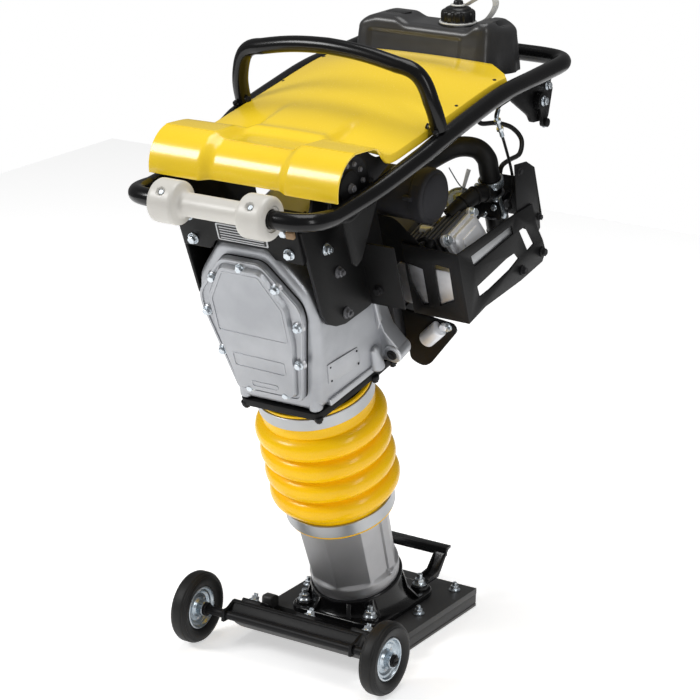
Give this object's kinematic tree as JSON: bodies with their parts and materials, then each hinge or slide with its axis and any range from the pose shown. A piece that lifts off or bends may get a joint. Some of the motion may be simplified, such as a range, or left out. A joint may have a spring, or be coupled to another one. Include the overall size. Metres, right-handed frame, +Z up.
{
  "type": "tamping rammer",
  "caption": "Upright jumping jack rammer: spring-driven foot on a leaning leg, yellow bellows and hood, side engine, tubular handle loop and tip-back wheels.",
  "frame": {"origin": "centre of the sole's flat underside", "axes": "+Z up, the roller end of the handle faces -Y, the engine's cylinder is on the +X side"},
  "size_m": [0.459, 0.8654, 1.1],
  "materials": {
    "worn_steel": "worn rolled steel",
    "laminate": "dark stained laminate",
    "black_paint": "satin black paint",
    "gloss_black": "gloss black paint",
    "tyre_rubber": "moulded rubber",
    "zinc": "zinc plated",
    "cast_aluminium": "satin cast",
    "engine_casting": "dull cast",
    "steel": "machined",
    "yellow_rubber": "glossy moulded",
    "yellow_paint": "gloss paint",
    "black_rubber": "matte moulded",
    "black_plastic": "satin moulded",
    "grey_plastic": "matte moulded",
    "pale_plastic": "satin moulded"
  },
  "bodies": {
    "foot": {"sole_plate": "worn_steel", "shoe_board": "laminate", "shoe_plate": "black_paint", "foot_casting": "gloss_black", "shoe_handle": "black_paint", "wheel_bracket": "black_paint", "axle": "gloss_black", "leg_tube": "cast_aluminium", "spring_cylinder": "steel", "lower_band": "cast_aluminium", "bellows": "yellow_rubber", "lower_spring": "steel", "upper_spring": "steel"},
    "machine": {"gear_case": "cast_aluminium", "case_cover": "cast_aluminium", "guide_cylinder": "black_paint", "upper_band": "cast_aluminium", "side_plate_left": "black_paint", "side_plate_right": "black_paint", "cross_plate": "black_paint", "rubber_mount_left": "black_rubber", "rubber_mount_right": "black_rubber", "clutch_housing": "cast_aluminium", "crankcase": "engine_casting", "cylinder": "engine_casting", "valve_cover": "cast_aluminium", "starter_housing": "black_plastic", "starter_rope": "black_plastic", "muffler": "steel", "muffler_guard": "black_paint", "heat_shield": "steel", "engine_bracket": "black_paint", "air_filter": "black_plastic", "air_filter_cap": "grey_plastic", "intake_hose": "black_rubber", "hose_clamp": "zinc", "carburettor": "engine_casting", "carburettor_guard": "black_paint", "fuel_hose": "black_rubber", "throttle_cable": "black_plastic"},
    "wheel_left": {"left_tyre": "tyre_rubber", "left_wheel_disc": "zinc"},
    "wheel_right": {"right_tyre": "tyre_rubber", "right_wheel_disc": "zinc"},
    "piston": {"piston_rod": "steel"},
    "crank": {"crank_gear": "steel"},
    "rod": {"connecting_rod": "steel"},
    "pinion": {"clutch_pinion": "steel"},
    "engine_crank": {"engine_shaft": "steel"},
    "grip": {"starter_grip": "black_plastic"},
    "choke": {"choke_lever": "zinc"},
    "handle": {"handle_loop": "gloss_black", "hoop": "gloss_black", "hood": "yellow_paint", "fuel_tank": "black_plastic", "throttle_bracket": "black_paint"},
    "front_roller": {"roller": "pale_plastic"},
    "throttle": {"throttle_lever": "black_plastic"},
    "cap": {"fuel_cap": "black_plastic"}
  },
  "joints": [
    {"name": "ram_stroke", "type": "slide", "parent": "foot", "child": "machine", "axis": [0, -0.33, 0.944], "range_m": [-0.03, 0.03], "stiffness_N_per_m": 60000, "springref_m": 0.0065, "deforming": ["bellows", "lower_spring", "upper_spring"]},
    {"name": "left_wheel_spin", "type": "hinge", "parent": "foot", "child": "wheel_left", "pos_m": [-0.1974, -0.275, 0.0665], "axis": [1, 0, 0], "continuous": true},
    {"name": "right_wheel_spin", "type": "hinge", "parent": "foot", "child": "wheel_right", "pos_m": [0.1974, -0.275, 0.0665], "axis": [1, 0, 0], "continuous": true},
    {"name": "piston_stroke", "type": "slide", "parent": "machine", "child": "piston", "axis": [0, -0.33, 0.944], "range_m": [0, 0.056], "deforming": ["lower_spring", "upper_spring"]},
    {"name": "crank_spin", "type": "hinge", "parent": "machine", "child": "crank", "pos_m": [0, -0.22079, 0.66757], "axis": [0, 0.944, 0.33], "continuous": true},
    {"name": "rod_swing", "type": "hinge", "parent": "crank", "child": "rod", "pos_m": [0, -0.24175, 0.63057], "axis": [0, 0.944, 0.33], "continuous": true},
    {"name": "pinion_spin", "type": "hinge", "parent": "machine", "child": "pinion", "pos_m": [0, -0.16399, 0.58996], "axis": [0, 0.944, 0.33], "continuous": true},
    {"name": "engine_spin", "type": "hinge", "parent": "machine", "child": "engine_crank", "pos_m": [0, -0.00352, 0.64606], "axis": [0, 0.944, 0.33], "continuous": true},
    {"name": "starter_pull", "type": "slide", "parent": "machine", "child": "grip", "axis": [0, 0.944, 0.33], "range_m": [0, 0.3], "stiffness_N_per_m": 20, "springref_m": -0.1, "deforming": ["starter_rope"]},
    {"name": "choke_turn", "type": "hinge", "parent": "machine", "child": "choke", "pos_m": [0.188, 0.11941, 0.76108], "axis": [1, 0, 0], "range_deg": [0, 50]},
    {"name": "handle_rock", "type": "hinge", "parent": "machine", "child": "handle", "pos_m": [0, -0.348, 0.906], "axis": [1, 0, 0], "range_deg": [-3, 3], "stiffness_Nm_per_rad": 4000, "springref_deg": 1.15, "deforming": ["fuel_hose", "throttle_cable"]},
    {"name": "roller_spin", "type": "hinge", "parent": "handle", "child": "front_roller", "pos_m": [0, -0.482, 0.876], "axis": [1, 0, 0], "continuous": true},
    {"name": "throttle_turn", "type": "hinge", "parent": "handle", "child": "throttle", "pos_m": [0.197, 0.226, 0.946], "axis": [1, 0, 0], "range_deg": [-30, 30]},
    {"name": "cap_turn", "type": "hinge", "parent": "handle", "child": "cap", "pos_m": [0.02, 0.236, 1.08], "axis": [0, 0, 1], "range_deg": [0, 90]}
  ],
  "couplings": [
    {"joint": "rod_swing", "follows": "crank_spin", "ratio": -1},
    {"joint": "pinion_spin", "follows": "crank_spin", "ratio": -4.75}
  ]
}
